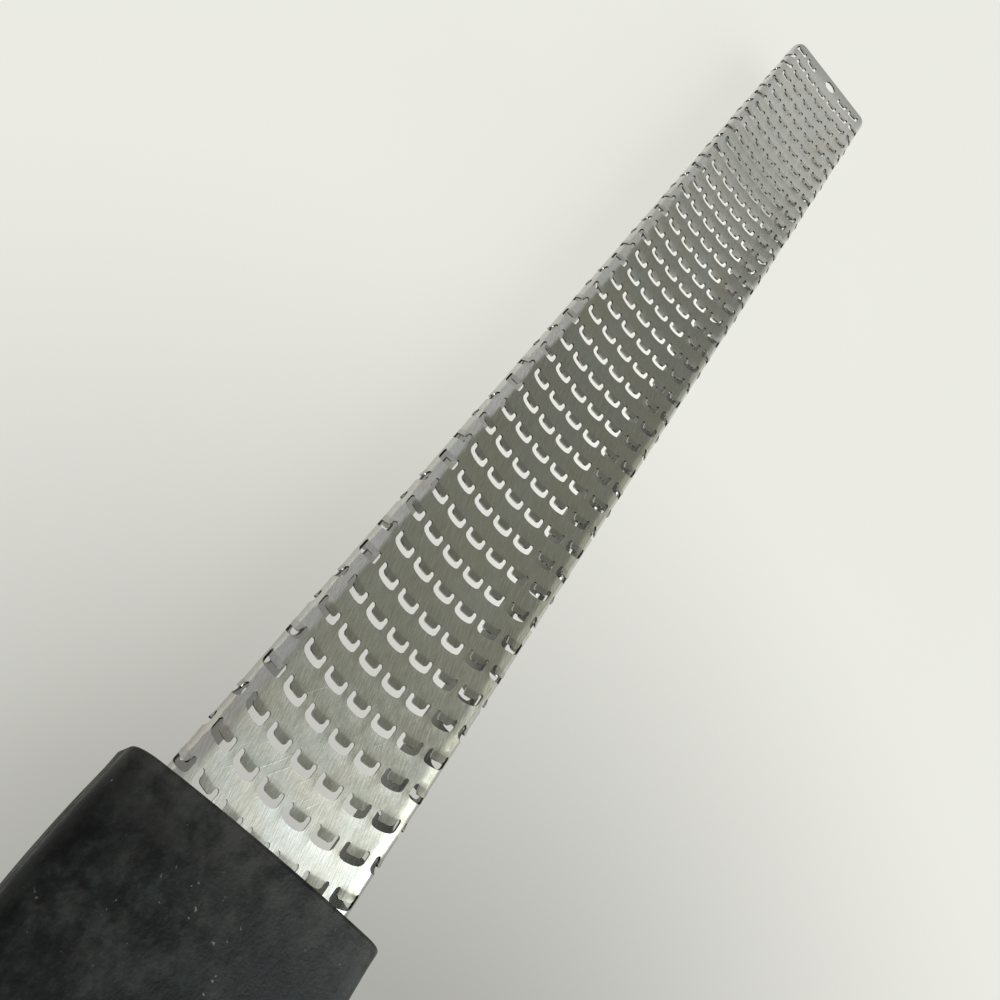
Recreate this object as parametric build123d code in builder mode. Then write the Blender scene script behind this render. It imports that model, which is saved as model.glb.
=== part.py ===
from build123d import *
import os
from math import acos, asin, cos, hypot, radians, sin, sqrt, tan

os.makedirs("parts", exist_ok=True)

# A rasp zester: a toothed steel channel held in a moulded handle of two shells.
# Millimetres. X runs from the butt of the handle to the tip of the blade, Y to the left, Z up.
# The teeth point up, and the belly of the handle stands at Z = 0.

# Overall sizes
blade_reach = 211.1      # blade in front of the handle
handle_length = 112.0
face_height = 13.5       # height of the blade's face over the belly of the handle

# The sheet and its channel section
sheet = 0.3
blade_half_width = 12.63  # at the widest place of the bends
bend_radius = 2.12        # outside
flange_lean = radians(30.6)
channel_depth = 8.55
tip_roll_share = 0.94     # how tightly the far end is rolled down, of the bend's radius
tip_lip = 1.3             # depth of the rolled end
tip_sweep = 6.0           # radius of the flanges' far lower corners
tip_relief = 1.1          # how far those corners stay behind the end
tang_length = 34.0

# Holes in the sheet
tip_hole_radius = 1.6
tip_hole_from_end = 4.6
tip_hole_margin = 0.5     # least sheet between the hole and a slot

# Rows of teeth
tooth_pitch = 3.85        # across, along the curved sheet
row_pitch = 4.556
row_count = 46
row_radius = 36.8         # each row is an arc, ahead at the sides
first_row_setback = 0.05  # behind the handle's front face
stagger_shares = (-0.23, 0.27, -0.48, 0.02)
toothed_half_width = 17.6
end_margin = 2.65         # plain sheet at the rolled end
corner_margin = 0.55      # plain sheet behind the flanges' swept corners

# One slot and its tongue, from the middle of the tooth
slot_half_width = 1.5
slot_back = 0.76
slot_front = 1.33
slot_bow = 0.4
tongue_half_width = 0.965
tongue_gap = 0.925
tongue_bow = 0.25
tooth_rise = 0.12
bend_seat = 0.03          # how far a tongue is let into the sheet on the bends

# Handle form
collar_half_width = 16.95
collar_rise = 4.4         # crown of the handle over the blade's face
crown_radius = 75.0
shoulder_radius = 3.5
belly_radius = 110.0
belly_edge_radius = 6.0
front_edge_radius = 0.4
butt_half_width = 4.0
butt_top_drop = 4.2
butt_belly_lift = 4.8
rest_cut = 0.3            # depth of the flat on the belly

# Handle shells
wall = 2.2
rib = 1.8
fit_clearance = 0.1
seam_gap = 0.3
seam_depth = 0.25
hang_hole_radius = 4.0
hang_hole_from_butt = 14.0
hang_hole_mouth = 1.3     # depth of the flared mouths
hang_wall = 2.2

# Pins and pegs
pin_radius = 1.5
pin_boss_wall = 1.7
pin_skin = 1.2
peg_radius = 1.5
peg_boss_wall = 1.5
peg_length = 5.0
peg_half_spacing = 8.0
pin_chamfer = 0.2

# Insert
insert_recess = 0.6
insert_roof = 2.0
insert_wall = 2.0

overrun = 1.0             # how far a cut runs past what it cuts

# Stations of the handle from its front face, as shares of its length, and its shape there as
# shares of the collar's half width, of the crown's rise and of the belly's depth
station_shares = (0.0, 0.05, 0.2, 0.38, 0.55, 0.72, 0.84)
width_shares = (1.0, 1.0, 0.955, 0.84, 0.81, 0.885, 0.935)
crown_shares = (1.0, 1.0, 0.98, 0.98, 1.05, 1.15, 1.12)
belly_shares = (0.89, 0.888, 0.885, 0.9, 0.955, 1.0, 0.995)
butt_angles = [radians(angle) for angle in (24, 44, 60, 74, 86)]
butt_inner_angles = 3     # how many of them the hollow follows
pin_shares = (0.32, 0.76)     # of the tang's length
rib_shares = (0.14, 0.24, 0.52, 0.64)  # of the handle's length
peg_shares = (0.42, 0.76)     # of the handle's length

# Places that follow from the sizes
overall_length = blade_reach + handle_length
tip_x = overall_length / 2
butt_x = -overall_length / 2
collar_x = butt_x + handle_length
tang_x = collar_x - tang_length
seam_z = face_height - bend_radius
flange_z = face_height - channel_depth
hang_hole_x = butt_x + hang_hole_from_butt
tip_hole_x = tip_x - tip_hole_from_end
pin_places = [(collar_x - share * tang_length, 0) for share in pin_shares]
peg_stations = [collar_x - share * handle_length for share in peg_shares]

flat_half_width = blade_half_width - bend_radius

# The end is rolled down until it is as deep as its lip, short of a quarter turn
tip_radius = tip_roll_share * bend_radius
tip_turn = acos(1 - tip_lip / tip_radius)
roll_end_x = tip_x + tip_radius * (1 - sin(tip_turn))
corner_x = tip_x - tip_relief
lip_z = face_height - tip_lip

# The bend along the sheet's middle line, to where the flange starts
middle_radius = bend_radius - sheet / 2
full_turn = radians(90) + flange_lean
bend_end = flat_half_width + full_turn * middle_radius

# Half the width, over the face, where the lines of the face and a leaning flange would meet
corner_half_width = (
    flat_half_width
    + bend_radius * cos(flange_lean)
    + bend_radius * (1 + sin(flange_lean)) * tan(flange_lean)
)


def channel_half_width(depth, inset):
    """Half width of the channel's form at a depth under the face, drawn in by inset."""
    return corner_half_width - depth * tan(flange_lean) - inset / cos(flange_lean)


def channel_form(inset, start_x, end_x, depth, end_radius):
    """The closed form of the channel: outside for no inset, hollow for an inset of the sheet."""
    length = end_x - start_x
    with BuildPart() as form:
        with BuildSketch(Plane.YZ.offset(start_x)) as outline:
            with BuildLine():
                Polyline(
                    (channel_half_width(inset, inset), face_height - inset),
                    (channel_half_width(depth, inset), face_height - depth),
                    (-channel_half_width(depth, inset), face_height - depth),
                    (-channel_half_width(inset, inset), face_height - inset),
                    close=True,
                )
            make_face()
            fillet(outline.vertices().sort_by(Axis.Y)[-2:], bend_radius - inset)
        extrude(amount=length)
        if end_radius:
            rim = form.faces().sort_by(Axis.X)[-1].edges().sort_by(Axis.Z)[1:]
            fillet(rim, end_radius)
    return form.part


def tooth_place(row, column):
    """Where a tooth stands: its plane on the sheet, and its places across and along the sheet.

    The pattern is laid out on the flat sheet and bent with it, so the distance across runs along
    the sheet's middle line: over the face, round the bend and down the flange.
    """
    across = (column + stagger_shares[row % len(stagger_shares)]) * tooth_pitch
    along = collar_x - first_row_setback + row * row_pitch + across**2 / (2 * row_radius)
    side = 1 if across > 0 else -1
    past_flat = max(abs(across) - flat_half_width, 0)
    turn = min(past_flat / middle_radius, full_turn)
    down_flange = max(abs(across) - bend_end, 0)
    out = min(abs(across), flat_half_width) + bend_radius * sin(turn)
    drop = bend_radius * (1 - cos(turn))
    out += down_flange * cos(turn)
    drop += down_flange * sin(turn)
    plane = Plane(
        origin=(along, -side * out, face_height - drop),
        x_dir=(0, -cos(turn), -side * sin(turn)),
        z_dir=(0, -side * sin(turn), cos(turn)),
    )
    return plane, across, along


def has_tooth(across, along):
    """Whether the pattern has a tooth here: not past its sides, the hole or the rolled end."""
    front = along + slot_front
    on_flange = abs(across) > flat_half_width + bend_radius
    if abs(across) > toothed_half_width:
        return False
    if front > (corner_x - tip_sweep - corner_margin if on_flange else tip_x - end_margin):
        return False
    gap_across = max(abs(across) - slot_half_width, 0)
    gap_along = max(along - slot_back - tip_hole_x, tip_hole_x - front, 0)
    return hypot(gap_across, gap_along) > tip_hole_radius + tip_hole_margin


column_reach = int(toothed_half_width / tooth_pitch) + 1
flat_teeth = []
bend_teeth = []
for row in range(row_count):
    for column in range(-column_reach, column_reach + 1):
        place, across, along = tooth_place(row, column)
        if has_tooth(across, along):
            inner_side = abs(across) - slot_half_width
            outer_side = abs(across) + slot_half_width
            if outer_side > flat_half_width and inner_side < bend_end:
                bend_teeth.append(place.offset(-bend_seat))
            else:
                flat_teeth.append(place)


def slot_cutter(half_width):
    """What one tooth takes out of the sheet, right through it: the whole slot with its tongue."""
    back_corner_y = slot_bow - slot_back
    with BuildPart() as cutter:
        with BuildSketch():
            with BuildLine():
                ThreePointArc(
                    (-half_width, back_corner_y), (0, -slot_back), (half_width, back_corner_y)
                )
                Polyline(
                    (half_width, back_corner_y),
                    (half_width, slot_front),
                    (-half_width, slot_front),
                    (-half_width, back_corner_y),
                )
            make_face()
        extrude(amount=bend_radius, both=True)
    return cutter.part


# On a bend the slot is as wide along the arc, so its straight width is the arc's chord
bend_slot_half_width = middle_radius * sin(slot_half_width / middle_radius)
flat_cutter = slot_cutter(slot_half_width)
bend_cutter = slot_cutter(bend_slot_half_width)

# The tongue that is put back, turned up about its root at the slot's front end
tongue_length = slot_front + slot_back - tongue_gap
tongue_tilt = asin(tooth_rise / tongue_length)
tongue_plane = Plane(
    origin=(0, slot_front, 0), x_dir=(1, 0, 0), z_dir=(0, sin(tongue_tilt), cos(tongue_tilt))
)
with BuildPart() as tongue:
    with BuildSketch(tongue_plane) as tongue_outline:
        with BuildLine():
            free_corner_y = tongue_bow - tongue_length
            ThreePointArc(
                (-tongue_half_width, free_corner_y),
                (0, -tongue_length),
                (tongue_half_width, free_corner_y),
            )
            Polyline(
                (tongue_half_width, free_corner_y),
                (tongue_half_width, sheet),
                (-tongue_half_width, sheet),
                (-tongue_half_width, free_corner_y),
            )
        make_face()
    extrude(amount=-sheet * cos(tongue_tilt))
    split(bisect_by=Plane.XZ.offset(-slot_front), keep=Keep.TOP)

# Blade
outer_form = channel_form(0, tang_x, roll_end_x, channel_depth, tip_radius)
inner_form = channel_form(
    sheet, tang_x - overrun, roll_end_x - sheet, channel_depth + overrun, tip_radius - sheet
)
with BuildPart() as rasp_blade:
    add(outer_form)
    add(inner_form, mode=Mode.SUBTRACT)
    # the flanges' far lower corners sweep up, and are relieved to the lip of the rolled end
    with BuildSketch(Plane.XZ) as sweep:
        with BuildLine():
            sweep_start = (corner_x - tip_sweep, flange_z)
            sweep_end = (corner_x, flange_z + tip_sweep)
            TangentArc(sweep_start, sweep_end, tangent=(1, 0))
            Polyline(
                sweep_end,
                (corner_x, lip_z),
                (roll_end_x + overrun, lip_z),
                (roll_end_x + overrun, flange_z - overrun),
                (corner_x - tip_sweep, flange_z - overrun),
                sweep_start,
            )
        make_face()
    extrude(amount=blade_half_width + overrun, both=True, mode=Mode.SUBTRACT)
    with Locations((tip_hole_x, 0, face_height)):
        Cylinder(tip_hole_radius, 2 * overrun, mode=Mode.SUBTRACT)
    with Locations(*[(x, y, face_height) for x, y in pin_places]):
        Cylinder(pin_radius + fit_clearance / 2, 2 * overrun, mode=Mode.SUBTRACT)
    with Locations(*flat_teeth):
        add(flat_cutter, clean=False, mode=Mode.SUBTRACT)
    with Locations(*bend_teeth):
        add(bend_cutter, clean=False, mode=Mode.SUBTRACT)
    with Locations(*flat_teeth, *bend_teeth):
        add(tongue.part, clean=False)
rasp_blade.part.label = "rasp_blade"
export_step(rasp_blade.part, "parts/rasp_blade.step")
print("teeth", len(flat_teeth) + len(bend_teeth), "of them on the bends", len(bend_teeth))


def handle_section(x, half_width, top_z, belly_z, inset):
    """A cross-section of the handle: crowned top and belly, rounded shoulders and flat sides.

    The arcs are tangent to each other. A shoulder's centre lies where its circle touches both
    the side and the crown from inside, and an inset keeps the centres and shortens the radii.
    """
    scale_share = min(half_width / (butt_half_width + belly_edge_radius), 1)
    corners = []
    for radius, arc_radius, edge_z, up in (
        (shoulder_radius, crown_radius, top_z, 1),
        (belly_edge_radius, belly_radius, belly_z, -1),
    ):
        radius = radius * scale_share
        centre_y = half_width - radius
        arc_z = edge_z - up * arc_radius
        centre_z = arc_z + up * sqrt((arc_radius - radius) ** 2 - centre_y**2)
        reach_share = (arc_radius - inset) / (arc_radius - radius)
        touch = (centre_y * reach_share, arc_z + (centre_z - arc_z) * reach_share)
        middle = (0, edge_z - up * inset)
        to_arc = ((touch[0] - centre_y) / (radius - inset), (touch[1] - centre_z) / (radius - inset))
        bisector = (1 + to_arc[0], to_arc[1])
        size = hypot(*bisector)
        halfway = (
            centre_y + (radius - inset) * bisector[0] / size,
            centre_z + (radius - inset) * bisector[1] / size,
        )
        corners.append((touch, middle, halfway, (half_width - inset, centre_z)))
    (top, crown, shoulder, side_top), (low, belly, edge, side_low) = corners
    with BuildSketch(Plane.YZ.offset(x)) as section:
        with BuildLine():
            ThreePointArc((-top[0], top[1]), crown, top)
            ThreePointArc(top, shoulder, side_top)
            Line(side_top, side_low)
            ThreePointArc(side_low, edge, low)
            ThreePointArc(low, belly, (-low[0], low[1]))
            ThreePointArc((-low[0], low[1]), (-edge[0], edge[1]), (-side_low[0], side_low[1]))
            Line((-side_low[0], side_low[1]), (-side_top[0], side_top[1]))
            ThreePointArc((-side_top[0], side_top[1]), (-shoulder[0], shoulder[1]), (-top[0], top[1]))
        make_face()
    return section.sketch


def handle_sections(inset, first_station, last_angle):
    """The handle's cross-sections from a station to the butt, which is rounded like an ellipse."""
    shapes = []
    for share, width, crown, belly in zip(
        station_shares, width_shares, crown_shares, belly_shares
    ):
        shapes.append((
            collar_x - share * handle_length,
            width * collar_half_width,
            face_height + crown * collar_rise,
            face_height - belly * (face_height + rest_cut),
        ))
    shapes = shapes[first_station:]
    round_x, round_width, round_top, round_belly = shapes[-1]
    round_length = round_x - butt_x
    for angle in butt_angles[:last_angle]:
        draw_in = 1 - cos(angle)
        shapes.append((
            round_x - round_length * sin(angle) / sin(butt_angles[-1]),
            round_width - (round_width - butt_half_width) * draw_in,
            round_top - butt_top_drop * draw_in,
            round_belly + butt_belly_lift * draw_in,
        ))
    return [handle_section(*shape, inset) for shape in shapes]


with BuildPart() as handle_form:
    loft(sections=handle_sections(0, 0, len(butt_angles)))
    split(bisect_by=Plane.XY, keep=Keep.TOP)
    fillet(handle_form.faces().sort_by(Axis.X)[-1].edges(), front_edge_radius)
with BuildPart() as handle_hollow:
    loft(sections=handle_sections(wall, 1, butt_inner_angles))


# The way through the handle's front for the blade and for what fills its channel
passage = channel_form(
    -fit_clearance, tang_x - fit_clearance, collar_x + overrun, channel_depth + fit_clearance, 0
)

# Levels of the pins, the pegs and the hang hole
pin_top_z = face_height + collar_rise - pin_skin
pin_bottom_z = face_height - belly_shares[1] * (face_height + rest_cut) + pin_skin
pin_bore = pin_radius + fit_clearance / 2
peg_bore = peg_radius + fit_clearance / 2
hang_top_z = face_height + crown_shares[-1] * collar_rise - hang_hole_mouth
hang_bottom_z = hang_hole_mouth
works_height = 2 * face_height + collar_rise
works_z = face_height / 2
peg_places = [(x, y) for x in peg_stations for y in (-peg_half_spacing, peg_half_spacing)]


def at_level(places, z):
    """The same places in plan, at one height."""
    return [(x, y, z) for x, y in places]


# Ribs, bosses and the hang hole's tube, as tall as the hollow
with BuildPart() as inner_works:
    for share in rib_shares:
        with Locations((collar_x - share * handle_length, 0, works_z)):
            Box(rib, 2 * collar_half_width, works_height)
    spine_start_x = tang_x - rib
    with Locations(((spine_start_x + hang_hole_x) / 2, 0, works_z)):
        Box(spine_start_x - hang_hole_x, rib, works_height)
    with Locations(*at_level(pin_places, works_z)):
        Cylinder(pin_radius + pin_boss_wall, works_height)
    with Locations(*at_level(peg_places, works_z)):
        Cylinder(peg_radius + peg_boss_wall, works_height)
    with Locations((hang_hole_x, 0, works_z)):
        Cylinder(hang_hole_radius + hang_wall, works_height)
    add(handle_hollow.part, mode=Mode.INTERSECT)

# What both shells leave free: the passage, the pins' bores and the hang hole with its mouths
with BuildPart() as shell_cuts:
    add(passage)
    with Locations(*at_level(pin_places, (pin_top_z + pin_bottom_z) / 2)):
        Cylinder(pin_bore, pin_top_z - pin_bottom_z)
    with Locations((hang_hole_x, 0, works_z)):
        Cylinder(hang_hole_radius, works_height)
    mouth_reach = hang_hole_mouth + overrun
    with Locations((hang_hole_x, 0, hang_top_z + mouth_reach / 2)):
        Cone(hang_hole_radius, hang_hole_radius + mouth_reach, mouth_reach)
    with Locations((hang_hole_x, 0, hang_bottom_z - mouth_reach / 2)):
        Cone(hang_hole_radius + mouth_reach, hang_hole_radius, mouth_reach)

# The fine groove round the handle where its shells meet
with BuildPart() as seam_groove:
    with Locations(((collar_x + butt_x) / 2, 0, seam_z - seam_gap / 2)):
        Box(handle_length + 2 * overrun, 2 * (collar_half_width + overrun), seam_gap)
    loft(sections=handle_sections(seam_depth, 0, len(butt_angles) - 1), mode=Mode.SUBTRACT)
    split(bisect_by=Plane.YZ.offset(collar_x), keep=Keep.BOTTOM)

with BuildPart() as handle_upper_shell:
    add(handle_form.part)
    add(handle_hollow.part, mode=Mode.SUBTRACT)
    add(inner_works.part)
    split(bisect_by=Plane.XY.offset(seam_z), keep=Keep.TOP)
    add(shell_cuts.part, mode=Mode.SUBTRACT)
    with Locations(*at_level(peg_places, seam_z - peg_length / 2 + rib / 2)):
        Cylinder(peg_radius, peg_length + rib)
handle_upper_shell.part.label = "handle_upper_shell"
export_step(handle_upper_shell.part, "parts/handle_upper_shell.step")

with BuildPart() as handle_lower_shell:
    add(handle_form.part)
    add(handle_hollow.part, mode=Mode.SUBTRACT)
    add(inner_works.part)
    split(bisect_by=Plane.XY.offset(seam_z), keep=Keep.BOTTOM)
    add(shell_cuts.part, mode=Mode.SUBTRACT)
    add(seam_groove.part, mode=Mode.SUBTRACT)
    with Locations(*at_level(peg_places, seam_z - peg_length / 2)):
        Cylinder(peg_bore, peg_length + 2 * fit_clearance, mode=Mode.SUBTRACT)
handle_lower_shell.part.label = "handle_lower_shell"
export_step(handle_lower_shell.part, "parts/handle_lower_shell.step")

# Moulded filler of the channel, cored from below between the pins
insert_front_x = collar_x - insert_recess
pocket_half_width = channel_half_width(channel_depth, sheet + fit_clearance) - insert_wall
pocket_height = channel_depth - sheet - fit_clearance - insert_roof
pin_xs = sorted(x for x, y in pin_places)
pin_hold = pin_radius + insert_wall
pocket_starts = [tang_x + insert_wall] + [x + pin_hold for x in pin_xs]
pocket_ends = [x - pin_hold for x in pin_xs] + [insert_front_x - insert_wall]
with BuildPart() as tang_insert:
    add(channel_form(sheet + fit_clearance, tang_x, insert_front_x, channel_depth, 0))
    with Locations(*at_level(pin_places, face_height)):
        Cylinder(pin_bore, 2 * channel_depth + overrun, mode=Mode.SUBTRACT)
    for start_x, end_x in zip(pocket_starts, pocket_ends):
        with Locations(((start_x + end_x) / 2, 0, flange_z + pocket_height / 2)):
            Box(end_x - start_x, 2 * pocket_half_width, pocket_height, mode=Mode.SUBTRACT)
tang_insert.part.label = "tang_insert"
export_step(tang_insert.part, "parts/tang_insert.step")

with BuildPart() as tang_pins:
    pin_length = pin_top_z - pin_bottom_z - 2 * fit_clearance
    with Locations(*at_level(pin_places, (pin_top_z + pin_bottom_z) / 2)):
        Cylinder(pin_radius, pin_length)
    chamfer(tang_pins.edges().filter_by(GeomType.CIRCLE), pin_chamfer)
tang_pins.part.label = "tang_pins"
export_step(tang_pins.part, "parts/tang_pins.step")

for name, piece in (
    ("blade", rasp_blade), ("upper", handle_upper_shell), ("lower", handle_lower_shell),
    ("insert", tang_insert), ("pins", tang_pins),
):
    print(name, len(piece.solids()), round(piece.part.volume, 1), piece.part.bounding_box())
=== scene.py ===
# %% [markdown]
# A rasp zester seen from over its handle: a long etched steel blade, bent into a shallow channel,
# held in a black moulded handle. The CAD model gives every place and size. This script gives the
# blade its bent-up teeth and every piece its finish, and adds a pale floor, a room and a soft lamp.

# %% Load the frame
from math import acos, asin, cos, pi, radians, sin

import bpy
import numpy as np
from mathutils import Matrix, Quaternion, Vector


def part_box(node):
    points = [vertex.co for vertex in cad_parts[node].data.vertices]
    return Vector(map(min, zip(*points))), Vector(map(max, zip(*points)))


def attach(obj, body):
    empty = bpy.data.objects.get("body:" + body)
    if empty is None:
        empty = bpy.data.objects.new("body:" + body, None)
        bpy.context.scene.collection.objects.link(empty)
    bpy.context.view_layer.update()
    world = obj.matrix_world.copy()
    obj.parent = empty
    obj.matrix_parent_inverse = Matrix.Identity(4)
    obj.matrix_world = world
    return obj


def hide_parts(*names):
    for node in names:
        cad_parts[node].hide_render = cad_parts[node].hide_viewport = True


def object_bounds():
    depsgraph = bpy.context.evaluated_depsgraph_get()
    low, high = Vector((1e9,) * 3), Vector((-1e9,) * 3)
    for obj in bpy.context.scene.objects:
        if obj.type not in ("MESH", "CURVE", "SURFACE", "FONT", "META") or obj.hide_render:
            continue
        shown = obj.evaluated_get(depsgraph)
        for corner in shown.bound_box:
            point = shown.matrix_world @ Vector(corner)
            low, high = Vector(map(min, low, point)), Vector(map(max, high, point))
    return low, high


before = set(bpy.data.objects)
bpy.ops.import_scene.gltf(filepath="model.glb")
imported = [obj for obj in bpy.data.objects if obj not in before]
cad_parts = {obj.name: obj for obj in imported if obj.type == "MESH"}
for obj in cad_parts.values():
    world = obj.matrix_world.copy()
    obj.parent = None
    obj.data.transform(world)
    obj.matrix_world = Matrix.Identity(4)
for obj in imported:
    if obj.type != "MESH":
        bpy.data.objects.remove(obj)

mm = 0.001
cad_low, cad_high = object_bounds()
blade_low, blade_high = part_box("rasp_blade")
collar_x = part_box("handle_upper_shell")[1].x
print("nodes", sorted(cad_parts), "collar at", round(collar_x / mm, 2), "mm")

# %% [markdown]
# The picture was taken close to the handle with a wide lens, so the near teeth look much larger than
# the far ones. Only a camera in the same place shows the same perspective. A place, a point to look
# at and a roll say where it stands more plainly than three angles would.

# %% Camera
camera_place = Vector((-67.84, 26.02, 110.53)) * mm
camera_aim = Vector((3.59, 2.44, 13.5)) * mm
camera_roll = radians(60.23)
camera_lens = 32.49
camera_sensor = 36

camera = bpy.data.objects.new("camera", bpy.data.cameras.new("camera"))
camera.data.lens = camera_lens
camera.data.sensor_width = camera_sensor
camera.data.clip_start = mm
camera.location = camera_place
camera.rotation_mode = "QUATERNION"
level = (camera_aim - camera_place).to_track_quat("-Z", "Y")
camera.rotation_quaternion = level @ Quaternion((0, 0, 1), camera_roll)
bpy.context.collection.objects.link(camera)
bpy.context.scene.camera = camera
bpy.context.scene.view_settings.view_transform = "Standard"
print("camera", round((camera_aim - camera_place).length / mm), "mm from what it looks at")

# %% [markdown]
# A blade like this starts as a flat sheet. Acid eats the slots through it, and then the sheet is bent:
# down both long sides, and rolled down at the far end. So the pattern is laid out here on the flat
# sheet too, by a distance across and a distance along, and one function bends it all into place.

# %% Sizes of the bent sheet
sheet = 0.3 * mm
bend_radius = 2.12 * mm
flange_lean = radians(30.6)
flat_half_width = 10.51 * mm
face_height = 13.5 * mm
tip_radius = 1.993 * mm
tip_lip = 1.3 * mm
tip_sweep = 6.0 * mm
tip_relief = 1.1 * mm

tip_x = blade_high.x
tang_x = blade_low.x
flange_z = blade_low.z
tip_turn = acos(1 - tip_lip / tip_radius)
roll_start = tip_x - tip_radius * sin(tip_turn)
corner_x = tip_x - tip_relief
full_turn = radians(90) + flange_lean
middle_radius = bend_radius - sheet / 2
bend_end = flat_half_width + full_turn * middle_radius
bend_drop = bend_radius * (1 + sin(flange_lean))
sheet_half_width = bend_end + (face_height - flange_z - bend_drop) / cos(flange_lean)
print("the flat sheet is", round(2 * sheet_half_width / mm, 1), "mm wide")


# %% Bend the sheet
def bent(across, inset):
    """Where the sheet's outside lies at a distance across the flat sheet, and which way it faces.

    Over the face it is straight, then it follows an arc whose angle is the distance past the flat
    over the middle radius, and then it runs straight down the leaning flange. An inset moves the
    point inwards, square to the sheet. Across is to the right, so it is along minus Y.
    """
    side = -np.sign(across)
    past_flat = np.maximum(np.abs(across) - flat_half_width, 0)
    turn = np.minimum(past_flat / middle_radius, full_turn)
    down_flange = np.maximum(np.abs(across) - bend_end, 0)
    out = np.minimum(np.abs(across), flat_half_width) + bend_radius * np.sin(turn)
    out = out + down_flange * np.cos(turn)
    drop = bend_radius * (1 - np.cos(turn)) + down_flange * np.sin(turn)
    facing = np.stack([np.zeros_like(turn), side * np.sin(turn), np.cos(turn)], axis=-1)
    point = np.stack([np.zeros_like(turn), side * out, face_height - drop], axis=-1)
    return point - inset[..., None] * facing, facing


sheet_edge = bent(np.array([sheet_half_width]), np.zeros(1))[0][0]
print("the sheet's long edges are bent down to", round(sheet_edge[2] / mm, 2), "mm")

# %% [markdown]
# The teeth stand in rows that curve forward at the sides. Each row is shifted against the next by a
# quarter or a half of the spacing, so that no part of the food meets bare sheet. Every row has its own
# band of sheet, and the same grid of cells fills all of them: eight cells to a tooth across and nine
# along. The columns of cells never move, so bands with different shifts still meet corner to corner.

# %% Layout of the teeth
tooth_pitch = 3.85 * mm
row_pitch = 4.556 * mm
row_count = 46
row_radius = 36.8 * mm
first_row_setback = 0.05 * mm
cells_across = 8
half_tooth = cells_across // 2
cell_width = tooth_pitch / cells_across
row_shift_cells = np.array([-2, 2, -4, 0])
pattern_shift = 0.02 * tooth_pitch
toothed_half_width = 17.6 * mm
end_margin = 2.65 * mm
corner_margin = 0.55 * mm
tip_hole_radius = 1.6 * mm
tip_hole_from_end = 4.6 * mm
tip_hole_margin = 0.5 * mm
tip_hole_x = tip_x - tip_hole_from_end
print("rows of teeth over", round((row_count - 1) * row_pitch / mm, 1), "mm of the blade")

# %% [markdown]
# A tooth is a square tongue left inside a U-shaped slot. In a grid of cells, the slot is where cells
# are left out, and the lines beside it are drawn aside to its outline. All these places are measured
# from the tooth's middle, with the handle's end at the back. Nine lines of cells share the band, and
# each line has a share that says how far its corners are drawn aside. The columns that bound the
# slot and the tongue are counted from the middle.

# %% One slot and its tooth
slot_half_width = 1.52 * mm
slot_back = -0.76 * mm
slot_front = 1.33 * mm
slot_bow = 0.3 * mm
slot_corner = 0.38 * mm
tongue_half_width = 0.94 * mm
tongue_free = 0.165 * mm
tongue_bow = 0.11 * mm
tongue_corner = 0.27 * mm
band_lines = np.array([-1.885, -1.28, -0.76, 0.165, 0.43, 0.74, 1.05, 1.33, 1.98, 2.671]) * mm
band_back = band_lines[0]
slot_back_line, tongue_free_line, hinge_line = 2, 3, 7
halfway_column, tongue_column, slot_column = 1, 2, 3
nearness_shares = np.array([0, 0.55, 1, 1, 1, 1, 1, 1, 0.55, 0])
print("a slot is", round(2 * slot_half_width / mm, 2), "mm wide")

# %% [markdown]
# A round corner of the slot or the tongue needs only three points: where its arc starts, its middle,
# and where it ends. Two small arrays hold, for every line and column of one tooth's cells, how far
# across and how far along that corner of a cell lies.

# %% Cells of one tooth
def tooth_cells():
    """Places across and along of the corners of one tooth's cells, from the tooth's middle.

    Away from the slot the corners keep an even spacing. Beside it, columns lie on the slot's side,
    on the tongue's side, halfway in and in the middle. An arc's middle is in by its radius times
    one less the cosine of 45 degrees.
    """
    columns = np.arange(cells_across + 1) - half_tooth
    side = np.sign(columns)
    reach = np.abs(columns)
    rim = reach == slot_column
    tongue_side = reach == tongue_column
    halfway = reach == halfway_column
    drawn = side * np.choose(
        reach, [0, tongue_half_width / 2, tongue_half_width, slot_half_width, tooth_pitch / 2]
    )
    nearness = nearness_shares[:, None]
    across = columns * cell_width * (1 - nearness) + drawn * nearness
    along = np.repeat(band_lines[:, None], cells_across + 1, axis=1)
    tuck = 1 - cos(radians(45))

    back = slot_back_line
    inner = reach < half_tooth
    along[back, inner] = slot_back + slot_bow * (drawn[inner] / slot_half_width) ** 2
    across[back, rim] -= side[rim] * tuck * slot_corner
    along[back, rim] += tuck * slot_corner
    along[back + 1, rim] = slot_back + slot_bow + slot_corner
    across[back, tongue_side] = side[tongue_side] * (slot_half_width - slot_corner)
    along[back, tongue_side] = slot_back + slot_bow * (1 - slot_corner / slot_half_width) ** 2
    across[back, halfway] = side[halfway] * (slot_half_width - slot_corner) / 2

    free = tongue_free_line
    tongue = reach <= tongue_column
    along[free, tongue] = tongue_free + tongue_bow * (drawn[tongue] / tongue_half_width) ** 2
    across[free, tongue_side] -= side[tongue_side] * tuck * tongue_corner
    along[free, tongue_side] += tuck * tongue_corner
    across[free, halfway] = side[halfway] * (tongue_half_width - tongue_corner)
    along[free + 1, tongue_side] = tongue_free + tongue_bow + tongue_corner

    arm_half = (slot_half_width - tongue_half_width) / 2
    arm_tuck = 2 * tuck * arm_half
    across[hinge_line, rim] -= side[rim] * arm_tuck
    across[hinge_line, tongue_side] += side[tongue_side] * arm_tuck
    along[hinge_line - 1] = slot_front - arm_half
    return across, along


cell_across, cell_along = tooth_cells()
print("one tooth has", cell_across.size, "corners")

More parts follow.
